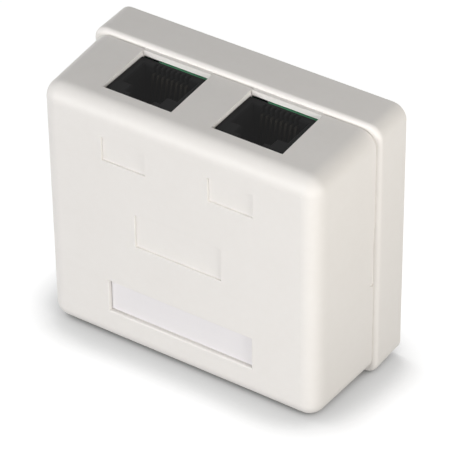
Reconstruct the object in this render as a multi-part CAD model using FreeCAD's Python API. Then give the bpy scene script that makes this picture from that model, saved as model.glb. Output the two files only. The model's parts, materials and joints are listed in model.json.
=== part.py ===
"""Two-port surface mount jack box, millimetres.

A clip-fit cover closes a wall-mounted base.  The base carries a circuit board with two
modular jacks and their punch-down terminal blocks.

Frame: +Z up, with the box on its cable-entry edge and its ports on top; +Y towards the wall;
the front face looks along -Y.  The origin is the centre of the bottom of the box.
"""
import FreeCAD, Part
import math
import os

V = FreeCAD.Vector

# ---- box ------------------------------------------------------------------------------------
box_width = 61.5            # X, across the base
box_height = 56.0           # Z, from the cable-entry edge to the port edge
box_depth = 27.5            # Y, from the wall to the front face
base_depth = 8.6            # the part of the depth that the base's walls make
base_wall = 1.8
base_floor = 2.0
base_corner = 2.8           # corner radius seen from the front
rim_rounding = 0.9          # bright rounded lip around the cover
cover_step = 0.8            # the cover stands back from the base's sides by this much
cover_wall = 1.7
cover_rounding = 3.4        # corners and front edges alike
cover_lean = 0.6            # each side leans in by this much from the rim to the front
joint_gap = 0.05            # between the cover's rear edge and the base's rim
cover_edge_break = 0.3      # makes the groove where the cover meets the rim
fit_gap = 0.1               # clearance of plastic parts that slide into each other
overlap = 0.1               # cuts and joined shapes run this far past a face

# ---- ports ----------------------------------------------------------------------------------
port_count = 2
port_pitch = 23.3
port_width = 14.9           # cut-out in the cover
port_front_wall = 5.13      # from the front face to the cut-out
tongue_reach = 0.85         # the base's tongues stand this far in front of its rim
tongue_height = 1.1
tongue_gap = 0.12           # at each end of a tongue
tongue_root = 0.3           # of a tongue in the flat part of the base's wall

# ---- front recesses -------------------------------------------------------------------------
icon_width = 9.4
icon_height = 5.1
icon_pitch = 22.8
icon_drop = 10.65           # below the top of the box
plate_width = 18.6
plate_height = 7.2
plate_level = 29.5
shallow_recess = 0.45
shallow_edge = 0.15         # rounding of the rims of the shallow recesses
label_width = 31.3
label_height = 6.9
label_level = 11.9
label_recess = 1.05
label_edge = 0.35           # rounding of the rim of the label's recess
slip_thickness = 0.25
slip_gap = 0.1

# ---- board ----------------------------------------------------------------------------------
board_thickness = 1.6
board_width = 40.0
board_margin = 3.5          # from the lower screw and the pins to the board's lower edge
board_setback = 0.5         # the board's front face stands this far in front of the tongues
board_top_gap = 0.6         # under the cover's top wall
board_tab_gap = 0.1         # under the tongue
board_screw_drop = 5.4      # lower screw below the terminal blocks
board_screw_rise = 7.8      # upper screw above the jacks' bottom
board_pin_spacing = 35.0
board_rest_spacing = 36.0
board_rest_rise = 11.6      # above the jacks' bottom

# ---- jacks ----------------------------------------------------------------------------------
jack_side_gap = 0.15        # between a jack and the sides of its cut-out
jack_front_gap = 0.17       # between a jack and the front of its cut-out
jack_sink = 1.15            # plug face below the cover's top
jack_length = 15.5          # Z
plug_width = 11.75
plug_height = 6.7
plug_depth = 12.4
plug_rear_wall = 1.44       # between the plug cavity and the board
latch_width = 7.5
latch_height = 2.2
latch_depth = 9.9           # the latch reaches this far below the plug face
catch_width = 4.9
catch_height = 0.95
catch_depth = 2.2           # the latch springs out behind this
mouth_chamfer = 0.2
contact_count = 8
contact_pitch = 1.016
contact_width = 0.45
contact_thickness = 0.35
comb_slot = 0.62
comb_depth = 1.0
contact_bend = 0.45
contact_top_gap = 1.6       # bend of the contacts below the plug face
contact_tip_reach = 2.3     # how far the free limbs stand out into the plug cavity
contact_tip_drop = 7.4
tail_level = 1.5            # lower row of solder tails above the jack's bottom
tail_row_pitch = 2.54
tail_reach = 0.8            # beyond the board
tail_hole = 0.9             # square
insert_width = 10.4
insert_length = 2.8
insert_height = 5.2
insert_gap = 0.05
peg_spacing = 11.4
peg_radius = 1.6
peg_level = 7.9             # above the jack's bottom
peg_gap = 0.05
peg_root = 0.4              # of a peg in the housing
peg_reach = 0.6             # beyond the board

# ---- terminal blocks ------------------------------------------------------------------------
block_pitch = 20.4
block_drop = 8.7            # middle of the blocks below the jacks' bottom
block_thickness = 7.2       # Z
block_body = 3.6            # Y, below the wire slots
block_tooth = 4.6           # Y, length of the teeth
wire_pitch = 2.3
wire_slot = 0.95
tooth_tip = 1.3             # length of the pointed tips
blade_width = 1.75
blade_thickness = 0.4
blade_gap = 0.08
blade_setback = 1.4         # below the tips of the teeth
blade_slot = 0.3
blade_slot_depth = 3.0
blade_mouth = 0.9
blade_tail = 0.6

# ---- wall fixing and cable entry ------------------------------------------------------------
wall_screw_spacing = 49.0
wall_screw_level = 28.0
wall_screw_radius = 2.1
cable_hole_width = 18.0
cable_hole_height = 10.0
cable_hole_level = 9.2
cable_hole_corner = 3.0
entry_width = 11.0          # cable entry in the lower wall, open towards the rim
entry_corner = 1.5
entry_margin = 1.0          # from the entry to the floor
entry_gap = 0.4             # the cover's lip stops this far beside the entry
knockout_spacing = 34.0
knockout_width = 9.0
knockout_web = 0.6
knockout_margin = 1.2       # from the rim to the knock-out
tie_spacing = 29.0
tie_level = 8.0
tie_width = 6.4
tie_thickness = 2.6
tie_height = 3.4
tie_tunnel_width = 3.6
tie_tunnel_height = 1.6

# ---- board fixing ---------------------------------------------------------------------------
boss_radius = 2.8
rest_width = 3.4
pin_post_width = 4.6
pin_width = 1.8
pin_gap = 0.1
pin_reach = 0.5
screw_shank = 1.2
screw_gap = 0.05
screw_depth = 4.6           # in the boss
screw_head_radius = 2.4
screw_head_height = 1.7
screw_clearance = 0.2
cross_depth = 1.0           # recess for the driver
cross_reach = 1.3
cross_width = 0.6

# ---- cover details --------------------------------------------------------------------------
lip_length = 2.0            # the cover's inner lip reaches this far into the base
snap_spacing = 28.0
snap_width = 5.0
snap_thickness = 1.1
snap_reach = 4.3            # beyond the rim
snap_root = 3.0             # of the snap arm along the cover's side
hook_height = 0.4
hook_length = 1.3
hook_rise = 0.39            # length of the hook's holding slope
hook_flat = 0.26
hook_gap = 0.1
pry_width = 13.1
pry_depth = 0.3
pry_length = 1.1
rib_thickness = 1.0
rib_spacing = 8.0
rib_length = 11.0
rib_gap = 0.3               # between a rib and the jack it holds down

# ---- levels and planes that follow ----------------------------------------------------------
back_y = box_depth / 2
front_y = -box_depth / 2
rim_y = back_y - base_depth
floor_y = back_y - base_floor
middle_z = box_height / 2
cover_width = box_width - 2 * cover_step
cover_height = box_height - 2 * cover_step
cover_rear_y = rim_y - joint_gap
cover_top = box_height - cover_step
cover_inside_top = cover_top - cover_wall
inside_rounding = cover_rounding - cover_wall
base_inside_top = box_height - base_wall
base_half_inside = box_width / 2 - base_wall
port_front_y = front_y + port_front_wall
tongue_front_y = rim_y - tongue_reach
tongue_bottom = cover_top - tongue_height
board_front_y = tongue_front_y - board_setback
board_back_y = board_front_y + board_thickness
board_top = cover_inside_top - board_top_gap
icon_level = box_height - icon_drop
jack_width = port_width - 2 * jack_side_gap
jack_front_y = port_front_y + jack_front_gap
jack_top = cover_top - jack_sink
jack_bottom = jack_top - jack_length
plug_rear_y = board_front_y - plug_rear_wall
plug_front_y = plug_rear_y - plug_height
block_level = jack_bottom - block_drop
block_tip_y = board_front_y - block_body - block_tooth
block_width = contact_count * wire_pitch + wire_slot
low_screw_level = block_level - block_thickness / 2 - board_screw_drop
high_screw_level = jack_bottom + board_screw_rise
board_screw_levels = (low_screw_level, high_screw_level)
board_bottom = low_screw_level - board_margin
board_rest_level = jack_bottom + board_rest_rise
port_centres = [port_pitch * (i - (port_count - 1) / 2) for i in range(port_count)]
block_centres = [block_pitch * (i - (port_count - 1) / 2) for i in range(port_count)]


# ---- helpers --------------------------------------------------------------------------------
def slab(x0, x1, y0, y1, z0, z1):
    """Block between two corners."""
    return Part.makeBox(x1 - x0, y1 - y0, z1 - z0, V(x0, y0, z0))


def rod(x, z, y0, y1, radius):
    """Round bar along Y."""
    return Part.makeCylinder(radius, y1 - y0, V(x, y0, z), V(0, 1, 0))


def steps(count, pitch):
    """Offsets of evenly spaced copies about zero."""
    return [pitch * (i - (count - 1) / 2) for i in range(count)]


def rounded_rectangle(width, height, radius, y, z=middle_z):
    """Closed wire in the plane at y, centred on x = 0."""
    turns = [V(1, 0, 0), V(0, 0, 1), V(-1, 0, 0), V(0, 0, -1)]
    here = V(width / 2, y, z - height / 2 + radius)
    edges = []
    for first, second in zip(turns, turns[1:] + turns[:1]):
        corner = first + second
        centre = V(corner.x * (width / 2 - radius), y, z + corner.z * (height / 2 - radius))
        start = centre + first * radius
        end = centre + second * radius
        edges.append(Part.makeLine(here, start))
        edges.append(Part.Arc(start, centre + corner * (radius * math.sqrt(0.5)), end).toShape())
        here = end
    return Part.Wire(edges)


def prism(wire, length):
    """Solid along +Y from a closed wire."""
    return Part.Face(wire).extrude(V(0, length, 0))


def polygon(points):
    """Closed wire through the points."""
    return Part.makePolygon(points + points[:1])


def leaning_block(width, height, rounding, y_rear, y_front, lean):
    """Block whose sides lean in from rear to front, rounded all over but at its rear."""
    w = width / 2
    h = height / 2
    block = Part.makeWedge(lean - w, y_front, middle_z - h + lean, middle_z - h, -w,
                           w - lean, y_rear, middle_z + h - lean, middle_z + h, w)
    leaning = [e for e in block.Edges if e.BoundBox.YLength > (y_rear - y_front) / 2]
    return block.makeFillet(rounding, leaning + edges_at(block, y_front))


def edges_at(shape, y, tolerance=1e-4):
    """Edges that lie wholly in the plane at y."""
    return [e for e in shape.Edges
            if abs(e.BoundBox.YMin - y) < tolerance and abs(e.BoundBox.YMax - y) < tolerance]


def cut_all(shape, tools):
    return shape.cut(Part.makeCompound(tools)) if tools else shape


def join(shapes):
    first, rest = shapes[0], shapes[1:]
    return first.fuse(rest).removeSplitter() if rest else first


def save(name, shape):
    os.makedirs("parts", exist_ok=True)
    shape.exportStep(os.path.join("parts", name + ".step"))


# ---- rear base ------------------------------------------------------------------------------
def base_shell():
    """Open tray with a rounded rim."""
    tray = prism(rounded_rectangle(box_width, box_height, base_corner, rim_y), base_depth)
    tray = tray.makeFillet(rim_rounding, edges_at(tray, rim_y))
    inside = prism(rounded_rectangle(box_width - 2 * base_wall, box_height - 2 * base_wall,
                                     base_corner - base_wall, rim_y - overlap),
                   floor_y - rim_y + overlap)
    return tray.cut(inside)


def base_tongues():
    """Tongues in front of the rim that close the rear of the port cut-outs."""
    half = port_width / 2 - tongue_gap
    root_y = rim_y + rim_rounding + tongue_root
    return [slab(x - half, x + half, tongue_front_y, root_y, tongue_bottom, cover_top)
            for x in port_centres]


def post(x, z, width, y_front, y_rear):
    """Square bar along Y."""
    half = width / 2
    return slab(x - half, x + half, y_front, y_rear, z - half, z + half)


def board_posts():
    """Two screw bosses, two pins on posts and two rests that carry the board."""
    posts = [rod(0, z, board_back_y, floor_y, boss_radius) for z in board_screw_levels]
    for x in steps(2, board_pin_spacing):
        posts.append(post(x, low_screw_level, pin_post_width, board_back_y, floor_y))
        posts.append(post(x, low_screw_level, pin_width, board_front_y - pin_reach, board_back_y))
    for x in steps(2, board_rest_spacing):
        posts.append(post(x, board_rest_level, rest_width, board_back_y, floor_y))
    return posts


def tie_bridge(x):
    """Bridge on the floor that a cable tie goes under."""
    bridge = slab(x - tie_width / 2, x + tie_width / 2, floor_y - tie_height, floor_y,
                  tie_level - tie_thickness / 2, tie_level + tie_thickness / 2)
    tunnel = slab(x - tie_tunnel_width / 2, x + tie_tunnel_width / 2, floor_y - tie_tunnel_height, floor_y,
                  tie_level - tie_thickness, tie_level + tie_thickness)
    return bridge.cut(tunnel)


def snap_groove(side, z):
    """Groove in the side wall that takes the hook of a snap arm."""
    wall = side * base_half_inside
    depth = side * (base_half_inside + hook_height + hook_gap - fit_gap)
    half = snap_width / 2 + fit_gap
    return slab(min(wall, depth), max(wall, depth), rim_y - overlap, rim_y + snap_reach + fit_gap,
                z - half, z + half)


def cable_entry():
    """Notch in the lower wall, open towards the rim, with rounded inner corners."""
    half = entry_width / 2
    notch = slab(-half, half, rim_y - overlap, floor_y - entry_margin, -overlap, base_wall + overlap)
    inner = [e for e in notch.Edges if e.BoundBox.ZLength > base_wall and e.BoundBox.YMin > rim_y]
    return notch.makeFillet(entry_corner, inner)


def make_rear_base():
    solids = [base_shell()] + base_tongues() + board_posts()
    cuts = []
    for x in steps(2, wall_screw_spacing):
        cuts.append(rod(x, wall_screw_level, floor_y, back_y, wall_screw_radius))
    for x in steps(2, tie_spacing):
        solids.append(tie_bridge(x))
    for z in board_screw_levels:
        hole_end = board_back_y + screw_depth + screw_clearance
        cuts.append(rod(0, z, board_back_y, hole_end, screw_shank + screw_gap))
    for x in steps(2, knockout_spacing):
        cuts.append(slab(x - knockout_width / 2, x + knockout_width / 2, rim_y + knockout_margin, floor_y,
                         knockout_web, base_wall))
    for side in (-1, 1):
        for z in steps(2, snap_spacing):
            cuts.append(snap_groove(side, middle_z + z))
    cuts.append(cable_entry())
    cuts.append(prism(rounded_rectangle(cable_hole_width, cable_hole_height, cable_hole_corner,
                                        floor_y, cable_hole_level), base_floor))
    return cut_all(join(solids), cuts)


# ---- front cover ----------------------------------------------------------------------------
def cover_outside():
    """Drafted block with large roundings and a bevelled rear edge."""
    block = leaning_block(cover_width, cover_height, cover_rounding, cover_rear_y, front_y, cover_lean)
    return block.makeChamfer(cover_edge_break, edges_at(block, cover_rear_y))


def cover_inside():
    """Room inside the cover, open towards the base."""
    return leaning_block(cover_width - 2 * cover_wall, cover_height - 2 * cover_wall, inside_rounding,
                         cover_rear_y, front_y + cover_wall, cover_lean)


def cover_lip():
    """Inner lip that centres the cover in the base."""
    inset = base_wall + fit_gap
    width = cover_width - 2 * cover_wall
    height = cover_height - 2 * cover_wall
    start_y = cover_rear_y - lip_length
    length = rim_y + lip_length - start_y
    outer = prism(rounded_rectangle(box_width - 2 * inset, box_height - 2 * inset,
                                    base_corner - inset, start_y), length)
    inner = prism(rounded_rectangle(width, height, inside_rounding, start_y), length)
    half = entry_width / 2 + entry_gap
    entry = slab(-half, half, rim_y, rim_y + lip_length, base_wall, middle_z)
    return outer.cut(inner).cut(entry)


def snap_arm(side, z):
    """Arm with an outward hook, on a side of the cover."""
    outer = side * (base_half_inside - fit_gap)
    inner = outer - side * snap_thickness
    hook = outer + side * hook_height
    tip = rim_y + snap_reach
    root = cover_rear_y - snap_root
    hook_y = tip - hook_length + hook_rise
    profile = [V(outer, root, z), V(outer, tip - hook_length, z), V(hook, hook_y, z),
               V(hook, hook_y + hook_flat, z), V(outer, tip, z), V(inner, tip, z), V(inner, root, z)]
    return Part.Face(polygon(profile)).extrude(V(0, 0, snap_width)).translated(V(0, 0, -snap_width / 2))


def recess(x, z, width, height, depth):
    """Pocket in the front face, centred on x and z."""
    half_width = width / 2
    half_height = height / 2
    return slab(x - half_width, x + half_width, front_y - overlap, front_y + depth,
                z - half_height, z + half_height)


def front_recesses():
    """Two icon recesses, a wider one below them and the label's."""
    pockets = [recess(x, icon_level, icon_width, icon_height, shallow_recess)
               for x in steps(2, icon_pitch)]
    pockets.append(recess(0, plate_level, plate_width, plate_height, shallow_recess))
    pockets.append(recess(0, label_level, label_width, label_height, label_recess))
    return pockets


def round_rims(cover, low, high, radius):
    """Round the rims of the recesses that lie between two levels of the front face."""
    level = [f for f in cover.Faces if f.BoundBox.YMax < front_y + overlap]
    front = max(level, key=lambda f: f.Area)
    inner = [wire for wire in front.Wires if not wire.isSame(front.OuterWire)]
    rims = [e for wire in inner for e in wire.Edges if e.BoundBox.ZMin > low and e.BoundBox.ZMax < high]
    return cover.makeFillet(radius, rims)


def port_cut(x):
    """Cut-out in the top wall, open towards the base."""
    half = port_width / 2
    bottom = cover_inside_top - cover_lean - overlap
    return slab(x - half, x + half, port_front_y, back_y, bottom, cover_top + overlap)


def hold_down_rib(x):
    """Rib on the inside of the front wall, just in front of a jack."""
    half = rib_thickness / 2
    return slab(x - half, x + half, front_y + cover_wall / 2, jack_front_y - rib_gap,
                cover_inside_top - rib_length, cover_inside_top + cover_wall / 2)


def pry_notch(side):
    """Shallow relief in the rear edge of a side wall."""
    outer = side * cover_width / 2
    inner = outer - side * pry_depth
    return slab(min(outer, inner), max(outer, inner), cover_rear_y - pry_length, cover_rear_y,
                middle_z - pry_width / 2, middle_z + pry_width / 2)


def make_front_cover():
    outside = cover_outside()
    solids = [outside.cut(cover_inside()), cover_lip()]
    for side in (-1, 1):
        for z in steps(2, snap_spacing):
            solids.append(snap_arm(side, middle_z + z))
    for port in port_centres:
        for x in steps(2, rib_spacing):
            solids.append(hold_down_rib(port + x).common(outside))
    cover = cut_all(join(solids), front_recesses())
    between = (label_level + plate_level) / 2
    cover = round_rims(cover, 0, between, label_edge)
    cover = round_rims(cover, between, box_height, shallow_edge)
    cuts = [port_cut(x) for x in port_centres]
    cuts += [pry_notch(side) for side in (-1, 1)]
    return cut_all(cover, cuts)


# ---- label ----------------------------------------------------------------------------------
def make_label_slip():
    """Paper slip on the floor of the lowest recess."""
    half_width = label_width / 2 - slip_gap
    half_height = label_height / 2 - slip_gap
    floor = front_y + label_recess
    return slab(-half_width, half_width, floor - slip_thickness, floor,
                label_level - half_height, label_level + half_height)


# ---- circuit board --------------------------------------------------------------------------
def tail_places(port):
    """x and z of the solder tails of one jack."""
    return [(port_centres[port] + x, jack_bottom + tail_level + tail_row_pitch * (i % 2))
            for i, x in enumerate(steps(contact_count, contact_pitch))]


def peg_places(port):
    return [(port_centres[port] + x, jack_bottom + peg_level) for x in steps(2, peg_spacing)]


def blade_places(port):
    return [(block_centres[port] + x, block_level) for x in steps(contact_count, wire_pitch)]


def make_circuit_board():
    board = slab(-board_width / 2, board_width / 2, board_front_y, board_back_y, board_bottom, board_top)
    tabs = []
    for x in port_centres:
        left = x - jack_width / 4
        right = x + jack_width / 2
        tab_top = tongue_bottom - board_tab_gap
        tabs.append(slab(left, right, board_front_y, board_back_y, board_top, tab_top))
    holes = [rod(0, z, board_front_y, board_back_y, screw_shank + screw_clearance)
             for z in board_screw_levels]
    holes += [post(x, low_screw_level, pin_width + 2 * pin_gap, board_front_y, board_back_y)
              for x in steps(2, board_pin_spacing)]
    for port in range(port_count):
        holes += [rod(x, z, board_front_y, board_back_y, peg_radius + peg_gap) for x, z in peg_places(port)]
        for x, z in tail_places(port) + blade_places(port):
            holes.append(post(x, z, tail_hole, board_front_y, board_back_y))
    return cut_all(join([board] + tabs), holes)


def board_screw(z):
    """Cheese-head screw with a cross recess."""
    seat = board_front_y
    top = seat - screw_head_height
    shank = rod(0, z, seat, board_back_y + screw_depth, screw_shank)
    head = rod(0, z, top, seat, screw_head_radius)
    half = cross_width / 2
    cross = [slab(-cross_reach, cross_reach, top, top + cross_depth, z - half, z + half),
             slab(-half, half, top, top + cross_depth, z - cross_reach, z + cross_reach)]
    return cut_all(join([head, shank]), cross)


def make_board_screws():
    return Part.makeCompound([board_screw(z) for z in board_screw_levels])


# ---- jacks ----------------------------------------------------------------------------------
def plug_outline(x, z, margin):
    """Stepped outline of the mouth: plug body, latch and catch slot, grown by margin."""
    plug = plug_width / 2 + margin
    latch = latch_width / 2 + margin
    catch = catch_width / 2 + margin
    rear = plug_rear_y + margin
    front = plug_front_y - margin
    shoulder = plug_front_y - latch_height - margin
    end = plug_front_y - latch_height - catch_height - margin
    right = [(plug, rear), (plug, front), (latch, front), (latch, shoulder), (catch, shoulder), (catch, end)]
    left = [(-px, py) for px, py in reversed(right)]
    return polygon([V(x + px, py, z) for px, py in right + left])


def plug_cavity(x):
    """Everything that the plug and its latch need."""
    half = plug_width / 2
    body = slab(x - half, x + half, plug_front_y, plug_rear_y, jack_top - plug_depth, jack_top)
    mouth = Part.Face(plug_outline(x, jack_top, 0)).extrude(V(0, 0, -catch_depth))
    lead_in = Part.makeLoft([plug_outline(x, jack_top, mouth_chamfer),
                             plug_outline(x, jack_top - mouth_chamfer, 0)], True, True)
    latch_end = plug_front_y - latch_height - catch_height
    latch_room = slab(x - latch_width / 2, x + latch_width / 2, latch_end, plug_front_y,
                      jack_top - latch_depth, jack_top - catch_depth)
    return join([body, mouth, lead_in, latch_room])


def comb_slots(x):
    """Grooves of the contacts in the wall beside the board."""
    slots = []
    groove_y = plug_rear_y + comb_depth
    slot_bottom = jack_bottom + insert_length
    through_top = jack_bottom + tail_level + tail_row_pitch + comb_slot
    for offset in steps(contact_count, contact_pitch):
        left = x + offset - comb_slot / 2
        right = x + offset + comb_slot / 2
        slots.append(slab(left, right, plug_rear_y - overlap, groove_y, slot_bottom, jack_top))
        slots.append(slab(left, right, plug_rear_y, board_front_y, slot_bottom, through_top))
    return slots


def insert_bay(x, gap):
    """Bay in the bottom of the housing that takes the contact insert."""
    half = insert_width / 2 + gap
    return slab(x - half, x + half, board_front_y - insert_height - gap, board_front_y,
                jack_bottom, jack_bottom + insert_length + gap)


def make_jack_housing(port):
    x = port_centres[port]
    body = slab(x - jack_width / 2, x + jack_width / 2, jack_front_y, board_front_y, jack_bottom, jack_top)
    pegs = [rod(px, pz, board_front_y - peg_root, board_back_y + peg_reach, peg_radius)
            for px, pz in peg_places(port)]
    cuts = [plug_cavity(x), insert_bay(x, insert_gap)] + comb_slots(x)
    return cut_all(join([body] + pegs), cuts)


def make_jack_insert(port):
    """Small block that carries the lower row of tails."""
    x = port_centres[port]
    block = insert_bay(x, 0)
    depth = plug_rear_wall
    slots = [slab(px - comb_slot / 2, px + comb_slot / 2, board_front_y - depth, board_front_y,
                  jack_bottom + tail_level - comb_slot / 2, jack_bottom + insert_length)
             for px, pz in tail_places(port)]
    return cut_all(block, slots)


def offset_run(path, offset):
    """Edges of one side of a strip along a path of points, each with its bend radius."""
    across = V(1, 0, 0)
    points = [point for point, bend in path]
    here = points[0] + (points[1] - points[0]).normalize().cross(across) * offset
    corners = [here]
    edges = []
    for before, (corner, bend), after in zip(points, path[1:], points[2:]):
        along_in = (corner - before).normalize()
        along_out = (after - corner).normalize()
        turn = along_in.getAngle(along_out)
        if bend:
            trim = bend * math.tan(turn / 2)
            outward = (along_in - along_out).normalize()
            centre = corner - outward * (bend / math.cos(turn / 2))
            start = corner - along_in * trim + along_in.cross(across) * offset
            end = corner + along_out * trim + along_out.cross(across) * offset
            middle = centre + outward * (start - centre).Length
            edges.append(Part.makeLine(here, start))
            edges.append(Part.Arc(start, middle, end).toShape())
        else:
            mitre = (along_in.cross(across) + along_out.cross(across)).normalize()
            end = corner + mitre * (offset / math.cos(turn / 2))
            edges.append(Part.makeLine(here, end))
        here = end
    last = points[-1] + (points[-1] - points[-2]).normalize().cross(across) * offset
    edges.append(Part.makeLine(here, last))
    corners.append(last)
    return corners, edges


def strip(path, width, thickness, x):
    """Flat spring wire of constant thickness along a path of (y, z, bend radius)."""
    run = [(V(x - width / 2, y, z), bend) for y, z, bend in path]
    (first, last), edges = offset_run(run, thickness / 2)
    (other_first, other_last), other_edges = offset_run(run, -thickness / 2)
    ends = [Part.makeLine(last, other_last), Part.makeLine(other_first, first)]
    outline = Part.Wire(Part.__sortEdges__(edges + other_edges + ends))
    return Part.Face(outline).extrude(V(width, 0, 0))


def make_jack_contact(port, i):
    """Spring contact: solder tail, rise along the comb, fold at the mouth, free limb."""
    x, tail_z = tail_places(port)[i]
    groove = plug_rear_y + comb_depth / 2
    fold_z = jack_top - contact_top_gap
    path = [(board_back_y + tail_reach, tail_z, 0), (groove, tail_z, 0), (groove, fold_z, contact_bend),
            (plug_rear_y - contact_bend, fold_z, 0),
            (plug_rear_y - contact_tip_reach, fold_z - contact_tip_drop, 0)]
    return strip(path, contact_width, contact_thickness, x)


# ---- terminal blocks ------------------------------------------------------------------------
def make_terminal_block(port):
    """Punch-down block: a body with slotted, pointed teeth."""
    x = block_centres[port]
    half = block_width / 2
    z0 = block_level - block_thickness / 2
    z1 = block_level + block_thickness / 2
    slot_bottom = block_tip_y + block_tooth
    profile = [V(x - half, board_front_y, z0), V(x - half, block_tip_y + tooth_tip, z0)]
    for offset in steps(contact_count + 1, wire_pitch):
        left = max(x + offset - (wire_pitch - wire_slot) / 2, x - half)
        right = min(x + offset + (wire_pitch - wire_slot) / 2, x + half)
        if offset > steps(contact_count + 1, wire_pitch)[0]:
            profile.append(V(left, slot_bottom, z0))
            profile.append(V(left, block_tip_y + tooth_tip, z0))
        profile.append(V((left + right) / 2, block_tip_y, z0))
        profile.append(V(right, block_tip_y + tooth_tip, z0))
        if offset < steps(contact_count + 1, wire_pitch)[-1]:
            profile.append(V(right, slot_bottom, z0))
    profile.append(V(x + half, board_front_y, z0))
    body = Part.Face(polygon(profile)).extrude(V(0, 0, z1 - z0))
    pockets = []
    for px, pz in blade_places(port):
        w = blade_width / 2 + blade_gap
        t = blade_thickness / 2 + blade_gap
        pockets.append(slab(px - w, px + w, block_tip_y, board_front_y, pz - t, pz + t))
    return cut_all(body, pockets)


def make_terminal_blade(port, i):
    """Insulation-displacement blade with a solder tail."""
    x, z = blade_places(port)[i]
    top = block_tip_y + blade_setback
    w = blade_width / 2
    s = blade_slot / 2
    m = blade_mouth / 2
    t = blade_tail / 2
    slot_end = top + blade_slot_depth
    tail_end = board_back_y + tail_reach
    right = [(s, slot_end), (s, top + blade_mouth), (m, top), (w, top), (w, board_front_y),
             (t, board_front_y), (t, tail_end)]
    left = [(-px, py) for px, py in reversed(right)]
    outline = polygon([V(x + px, py, z - blade_thickness / 2) for px, py in right + left])
    return Part.Face(outline).extrude(V(0, 0, blade_thickness))


# ---- write every piece ----------------------------------------------------------------------
def main():
    save("rear_base", make_rear_base())
    save("front_cover", make_front_cover())
    save("label_slip", make_label_slip())
    save("circuit_board", make_circuit_board())
    save("board_screws", make_board_screws())
    for port in range(port_count):
        name = str(port + 1)
        save("jack_housing_" + name, make_jack_housing(port))
        save("jack_insert_" + name, make_jack_insert(port))
        save("terminal_block_" + name, make_terminal_block(port))
        for i in range(contact_count):
            save("jack_contact_%s_%d" % (name, i + 1), make_jack_contact(port, i))
            save("terminal_blade_%s_%d" % (name, i + 1), make_terminal_blade(port, i))


main()
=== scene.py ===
"""Looks of the surface mount jack box: plastics, board, label card, floor, lamps and camera."""

import json
import math

import bmesh
import bpy
from mathutils import Matrix, Vector


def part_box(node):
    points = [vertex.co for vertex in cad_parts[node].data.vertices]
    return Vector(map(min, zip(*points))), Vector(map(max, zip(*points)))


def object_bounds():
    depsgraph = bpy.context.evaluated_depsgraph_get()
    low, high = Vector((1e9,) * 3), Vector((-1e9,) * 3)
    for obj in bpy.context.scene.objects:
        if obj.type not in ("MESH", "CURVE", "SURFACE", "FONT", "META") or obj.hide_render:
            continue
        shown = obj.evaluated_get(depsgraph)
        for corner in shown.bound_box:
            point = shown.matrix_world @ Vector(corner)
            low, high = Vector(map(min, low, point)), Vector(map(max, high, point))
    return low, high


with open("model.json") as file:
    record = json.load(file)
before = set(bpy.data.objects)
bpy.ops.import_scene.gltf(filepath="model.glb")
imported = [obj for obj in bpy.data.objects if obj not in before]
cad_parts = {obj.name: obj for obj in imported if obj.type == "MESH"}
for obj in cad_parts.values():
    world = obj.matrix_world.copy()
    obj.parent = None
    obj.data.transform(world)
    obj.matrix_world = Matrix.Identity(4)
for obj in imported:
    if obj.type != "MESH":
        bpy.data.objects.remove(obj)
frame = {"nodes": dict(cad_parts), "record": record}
cad_low, cad_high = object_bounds()
nodes = frame["nodes"]
MM = 0.001


# ---- shader building ------------------------------------------------------------------------
class Sock:
    """A shader socket that takes part in sums and products."""

    def __init__(self, graph, socket):
        self.graph = graph
        self.socket = socket

    def _maths(self, operation, first, second):
        return self.graph.node("Math", {"operation": operation}, {0: first, 1: second})

    def __add__(self, other):
        return self._maths("ADD", self, other)

    __radd__ = __add__

    def __mul__(self, other):
        return self._maths("MULTIPLY", self, other)

    __rmul__ = __mul__

    def __getitem__(self, name):
        """Another output of the same node."""
        return Sock(self.graph, self.socket.node.outputs[name])


class Graph:
    """A node tree, and the one method that adds a node to it."""

    def __init__(self, tree):
        self.tree = tree

    def node(self, kind, settings, inputs, output=0):
        """One node of a kind, such as TexNoise, with its settings first, then its inputs."""
        made = self.tree.nodes.new("ShaderNode" + kind)
        for key, value in settings.items():
            if key == "stops":
                self._stops(made.color_ramp, value)
            else:
                setattr(made, key, value)
        for key, value in inputs.items():
            if isinstance(value, Sock):
                self.tree.links.new(value.socket, made.inputs[key])
            else:
                made.inputs[key].default_value = value
        return Sock(self, made.outputs[output]) if len(made.outputs) else None

    def _stops(self, ramp, stops):
        """Positions and colours of a colour ramp."""
        while len(ramp.elements) < len(stops):
            ramp.elements.new(1.0)
        for element, (position, colour) in zip(ramp.elements, stops):
            element.position = position
            element.color = (*colour, 1.0)

    def seen_directly(self):
        """1 for what the camera, a mirror or a glass sees, 0 for light that falls on things."""
        ray = self.node("LightPath", {}, {}, "Is Camera Ray")
        return ray + ray["Is Glossy Ray"] + ray["Is Transmission Ray"]


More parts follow.
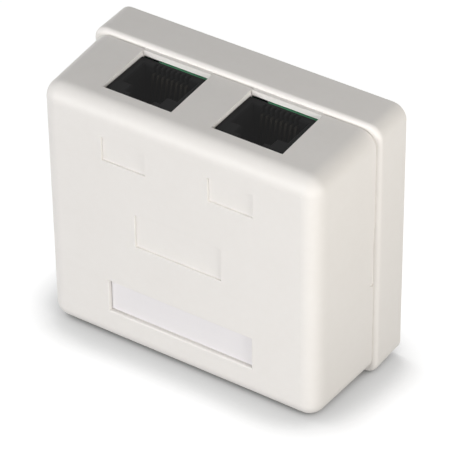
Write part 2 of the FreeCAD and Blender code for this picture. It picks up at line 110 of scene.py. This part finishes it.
class Finish(Graph):
    """A new material with its Principled shader and its Object coordinates."""

    def __init__(self, name, colour, roughness, **settings):
        self.material = bpy.data.materials.new(name)
        self.material.use_nodes = True
        super().__init__(self.material.node_tree)
        self.shader = self.tree.nodes["Principled BSDF"]
        self.set("Base Color", (*colour, 1.0))
        self.set("Roughness", roughness)
        for socket, value in settings.items():
            self.set(socket.replace("_", " "), value)
        self.place = self.node("TexCoord", {}, {}, "Object")

    def set(self, socket, value):
        """A constant on the shader's own socket, or a link to it."""
        if isinstance(value, Sock):
            self.tree.links.new(value.socket, self.shader.inputs[socket])
        else:
            self.shader.inputs[socket].default_value = value

    def noise(self, scale, detail=2.0, roughness=0.5):
        """Cloudy value about 0.5; scale is in features per metre."""
        inputs = {"Vector": self.place, "Scale": scale, "Detail": detail, "Roughness": roughness}
        return self.node("TexNoise", {}, inputs, "Fac")

    def blend(self, factor, first, second):
        """Colour between two colours."""
        inputs = {0: factor, 6: (*first, 1.0), 7: (*second, 1.0)}
        return self.node("Mix", {"data_type": "RGBA"}, inputs, 2)

    def bump(self, height, strength, distance):
        """Fine relief; distance is the depth that a height of 1 stands for."""
        inputs = {"Height": height, "Strength": strength, "Distance": distance}
        self.set("Normal", self.node("Bump", {}, inputs, "Normal"))


# ---- finishes -------------------------------------------------------------------------------
WHITE = (1.0, 1.0, 1.0)
SHELL = (0.830, 0.806, 0.782)
SHELL_SHADE = (0.785, 0.756, 0.725)
BLOCK = (0.78, 0.77, 0.75)
BLOCK_SHADE = (0.76, 0.75, 0.73)
CARD = (0.795, 0.771, 0.776)
CARD_FIBRES = [(0.785, 0.761, 0.770), (0.805, 0.781, 0.790)]
JACK_BLACK = (0.005, 0.005, 0.0052)
BOARD = (0.007, 0.125, 0.05)
BOARD_TRACKS = [(0.005, 0.105, 0.042), (0.010, 0.155, 0.062)]
# painted shade: the contacts' metal is coloured near black for the shade deep in the jacks
CONTACT_PAINTED_SHADE = (0.022, 0.020, 0.017)
BLADE_TIN = (0.62, 0.61, 0.58)
SCREW_ZINC = (0.62, 0.62, 0.64)
# features per metre
CLOUDS, MOTTLE, GRAIN = 90, 700, 5200
CARD_FIBRE, SATIN, DRAWN = 2600, 4000, 3000
TRACK_SCALE = 60.0
# depths of relief
GRAIN_DEPTH = 0.04 * MM
FINE_DEPTH = 0.03 * MM
# painted light: a faint glow on the jack plastic and the contacts stands in for the stray light
# that lifts the blacks deep in the jacks
JACK_PAINTED_GLOW = {"Emission_Color": (*WHITE, 1.0), "Emission_Strength": 0.0152}
CONTACT_PAINTED_GLOW = {"Emission_Color": (*WHITE, 1.0), "Emission_Strength": 0.0135}


def moulded_plastic(name, colour, shade, grain, roughness):
    """Pale moulded plastic: faint clouding, fine spark-eroded grain."""
    finish = Finish(name, colour, roughness, IOR=1.5, Specular_IOR_Level=0.3)
    cloud = finish.noise(CLOUDS, 3.0) * 0.5 + finish.noise(MOTTLE, 3.0, 0.65) * 0.5
    finish.set("Base Color", finish.blend(cloud, colour, shade))
    fine = finish.noise(GRAIN, 3.0, 0.6)
    finish.set("Roughness", roughness + 0.10 * fine)
    finish.bump(fine, grain, GRAIN_DEPTH)
    return finish.material


def paper():
    """Bright card with a faint fibre."""
    finish = Finish("label card", CARD, 0.85, IOR=1.4)
    fibre = finish.noise(CARD_FIBRE, 4.0, 0.7)
    finish.set("Base Color", finish.blend(fibre, *CARD_FIBRES))
    finish.bump(fibre, 0.15, GRAIN_DEPTH)
    return finish.material


def black_plastic():
    """Satin black of the jacks, with a faint painted glow for the stray light deep in them."""
    finish = Finish("jack black", JACK_BLACK, 0.5, IOR=1.5, Specular_IOR_Level=0.03, **JACK_PAINTED_GLOW)
    fine = finish.noise(SATIN)
    finish.set("Roughness", 0.45 + 0.14 * fine)
    finish.bump(fine, 0.12, FINE_DEPTH)
    return finish.material


def solder_mask():
    """Green board with buried tracks."""
    finish = Finish("board green", BOARD, 0.40, IOR=1.5)
    tracks = finish.node("TexBrick", {"offset": 0.5, "squash": 1.0},
                         {"Vector": finish.place, "Scale": TRACK_SCALE, "Mortar Size": 0.02,
                          "Brick Width": 0.5, "Row Height": 0.12}, "Fac")
    finish.set("Base Color", finish.blend(tracks, *BOARD_TRACKS))
    finish.bump(tracks, 0.3, FINE_DEPTH)
    return finish.material


def metal(name, colour, roughness, **settings):
    """Drawn metal with an uneven sheen."""
    finish = Finish(name, colour, roughness, Metallic=1.0, **settings)
    drawn = finish.noise(DRAWN)
    finish.set("Roughness", roughness + 0.12 * drawn)
    return finish.material


def dress_nodes():
    """A finish on every node."""
    finishes = {
        "cover_plastic": moulded_plastic("cover white", SHELL, SHELL_SHADE, 0.18, 0.42),
        "base_plastic": moulded_plastic("base white", SHELL, SHELL_SHADE, 0.18, 0.42),
        "label_paper": paper(),
        "jack_plastic": black_plastic(),
        "board_laminate": solder_mask(),
        # painted shade and painted glow: the contacts are coloured near black for the shade deep
        # in the jacks, and glow faintly as stray light would light them
        "contact_gold": metal("contact painted shade", CONTACT_PAINTED_SHADE, 0.55, **CONTACT_PAINTED_GLOW),
        "blade_metal": metal("blade tin", BLADE_TIN, 0.30),
        "screw_steel": metal("screw zinc", SCREW_ZINC, 0.28),
        "block_plastic": moulded_plastic("block white", BLOCK, BLOCK_SHADE, 0.12, 0.40),
    }
    for part in frame["record"]["subparts"]:
        node = nodes[part["node"]]
        node.data.materials.clear()
        node.data.materials.append(finishes[part["material_slot"]])


# ---- surroundings ---------------------------------------------------------------------------
WORLD_LIGHT = 0.03
FLOOR_SIZE = 3.0            # metres each way from the middle
FLOOR_BELOW = 0.05 * MM
FLOOR_BOUNCE = 0.30         # colour that sends light back to the object
FLOOR_SEEN = 1.8            # colour of the cast shadow's open parts
FLOOR_CAST = 0.15           # share of the cast shadow in what is seen
FLOOR_GLOW_WITH_PAINTED_SHADOW = 1.08
SHADOW_REACH = 12 * MM
# the floor touches the base and the cover this far behind their foremost points, and on the
# cover's rounding this much above its lowest point
BASE_TOUCH = 2.62 * MM
COVER_TOUCH = 3.29 * MM
COVER_TOUCH_RISE = 0.485 * MM
# painted shadow on the floor: open sky seen by the floor, and how bright the floor is painted
# there
FLOOR_PAINTED_SHADOW_TONES = [
    (0.18, 0.076), (0.205, 0.14), (0.242, 0.23), (0.30, 0.31), (0.39, 0.41), (0.51, 0.475),
    (0.56, 0.50), (0.62, 0.535), (0.68, 0.60), (0.73, 0.68), (0.76, 0.74), (0.80, 0.81),
    (0.85, 0.87), (0.95, 1.0),
]
LAMPS = [
    # name, azimuth, elevation, level, spread of the disc in degrees, colour
    ("left window", -75, 25, 0.10, 30, (0.94, 0.98, 1.0)),
    ("high left window", -100, 55, 0.20, 30, WHITE),
    ("front window", -25, 12, 0.697, 30, WHITE),
    ("front right window", 34, 8, 0.37, 30, WHITE),
    ("slanting lamp", 70, 10, 0.24, 20, WHITE),
    ("back window", 180, 4, 0.45, 12, WHITE),
]
RIGHT_PANEL = {
    "place": (0.165, -0.030, 0.083), "size": 0.09, "watts": 0.104, "colour": (1.0, 0.96, 0.88),
}
CAMERA_AZIMUTH = 33.9
CAMERA_ELEVATION = 37.4
CAMERA_ROLL = -0.8
CAMERA_REACH = 0.584        # metres from the object's middle
CAMERA_ASIDE = -0.95 * MM   # of the object's middle in the frame
CAMERA_ABOVE = 1.64 * MM
CAMERA_LENS = 256.0         # millimetres, over a sensor of this width
CAMERA_SENSOR = 36.0


def floor_plane():
    """Pale floor that leans to touch the base's lower edge and the cover's lower front edge."""
    base_low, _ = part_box("rear_base")
    cover_low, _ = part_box("front_cover")
    rim = base_low.y + BASE_TOUCH
    front = cover_low.y + COVER_TOUCH
    rise = (cover_low.z + COVER_TOUCH_RISE) / (rim - front)
    lean = Matrix.Rotation(-math.atan(rise), 4, "X")
    bm = bmesh.new()
    bmesh.ops.create_grid(bm, x_segments=1, y_segments=1, size=FLOOR_SIZE)
    place = Matrix.Translation((0, rim, -FLOOR_BELOW))
    bmesh.ops.transform(bm, matrix=place @ lean, verts=bm.verts)
    mesh = bpy.data.meshes.new("floor")
    bm.to_mesh(mesh)
    bm.free()
    floor = bpy.data.objects.new("floor", mesh)
    bpy.context.scene.collection.objects.link(floor)
    floor.data.materials.append(floor_material())


def floor_material():
    """White where it is seen and open, painted shadow near the object, dim bounce for other
    rays.
    """
    material = bpy.data.materials.new("floor pale")
    material.use_nodes = True
    material.node_tree.nodes.clear()
    graph = Graph(material.node_tree)
    bounce = graph.node("BsdfDiffuse", {}, {"Color": (FLOOR_BOUNCE,) * 3 + (1,)})
    cast = graph.node("BsdfDiffuse", {}, {"Color": (FLOOR_SEEN,) * 3 + (1,)})
    open_sky = graph.node("AmbientOcclusion", {"samples": 16}, {"Distance": SHADOW_REACH}, "AO")
    stops = [(sky, (tone,) * 3) for sky, tone in FLOOR_PAINTED_SHADOW_TONES]
    shade = graph.node("ValToRGB", {"stops": stops}, {"Fac": open_sky}, "Color")
    glow_with_painted_shadow = graph.node("Emission", {}, {"Color": shade, "Strength": FLOOR_GLOW_WITH_PAINTED_SHADOW})
    seen = graph.node("MixShader", {}, {0: FLOOR_CAST, 1: glow_with_painted_shadow, 2: cast})
    surface = graph.node("MixShader", {}, {0: graph.seen_directly(), 1: bounce, 2: seen})
    graph.node("OutputMaterial", {}, {"Surface": surface})
    return material


def direction(azimuth, elevation):
    """Unit vector from the object; azimuth 0 is the front, 90 the right."""
    a = math.radians(azimuth)
    e = math.radians(elevation)
    return Vector((math.sin(a) * math.cos(e), -math.cos(a) * math.cos(e), math.sin(e)))


def sun(name, azimuth, elevation, level, spread, colour):
    """Distant soft lamp; level 1 shows a facing colour as it is written."""
    lamp = bpy.data.lights.new(name, "SUN")
    lamp.energy = level * math.pi
    lamp.angle = math.radians(spread)
    lamp.color = colour
    piece = bpy.data.objects.new(name, lamp)
    piece.rotation_mode = "QUATERNION"
    piece.rotation_quaternion = direction(azimuth, elevation).to_track_quat("Z", "Y")
    bpy.context.scene.collection.objects.link(piece)


def panel(name, place, size, watts, colour):
    """Square soft lamp close to the object, turned to its middle."""
    lamp = bpy.data.lights.new(name, "AREA")
    lamp.energy = watts
    lamp.size = size
    lamp.color = colour
    piece = bpy.data.objects.new(name, lamp)
    away = Vector(place) - (cad_low + cad_high) / 2
    turn = away.to_track_quat("Z", "Y").to_matrix().to_4x4()
    piece.matrix_world = Matrix.Translation(place) @ turn
    bpy.context.scene.collection.objects.link(piece)


def studio():
    """Soft lamps, and a white room that only the camera and the gloss see."""
    for lamp in LAMPS:
        sun(*lamp)
    panel("right panel", **RIGHT_PANEL)
    world = bpy.data.worlds.new("studio")
    bpy.context.scene.world = world
    world.use_nodes = True
    world.node_tree.nodes.clear()
    graph = Graph(world.node_tree)
    dim = graph.node("Background", {}, {"Strength": WORLD_LIGHT, "Color": (1, 1, 1, 1)})
    white = graph.node("Background", {}, {"Strength": 1.0, "Color": (1, 1, 1, 1)})
    surface = graph.node("MixShader", {}, {0: graph.seen_directly(), 1: dim, 2: white})
    graph.node("OutputWorld", {}, {"Surface": surface})


def camera():
    """Long lens, above and to the right of the front."""
    azimuth, roll = math.radians(CAMERA_AZIMUTH), math.radians(CAMERA_ROLL)
    back = direction(CAMERA_AZIMUTH, CAMERA_ELEVATION)
    right = Vector((math.cos(azimuth), math.sin(azimuth), 0))
    up = back.cross(right)
    side = right * math.cos(roll) + up * math.sin(roll)
    head = up * math.cos(roll) - right * math.sin(roll)
    centre = (cad_low + cad_high) / 2
    data = bpy.data.cameras.new("camera")
    data.lens = CAMERA_LENS
    data.sensor_width = CAMERA_SENSOR
    data.clip_start = 0.01
    data.clip_end = 20.0
    piece = bpy.data.objects.new("camera", data)
    place = centre - side * CAMERA_ASIDE - head * CAMERA_ABOVE + back * CAMERA_REACH
    turn = Matrix((side, head, back)).transposed().to_4x4()
    piece.matrix_world = Matrix.Translation(place) @ turn
    bpy.context.scene.collection.objects.link(piece)
    bpy.context.scene.camera = piece


camera()
studio()
floor_plane()
dress_nodes()
bpy.context.scene.view_settings.view_transform = "Standard"
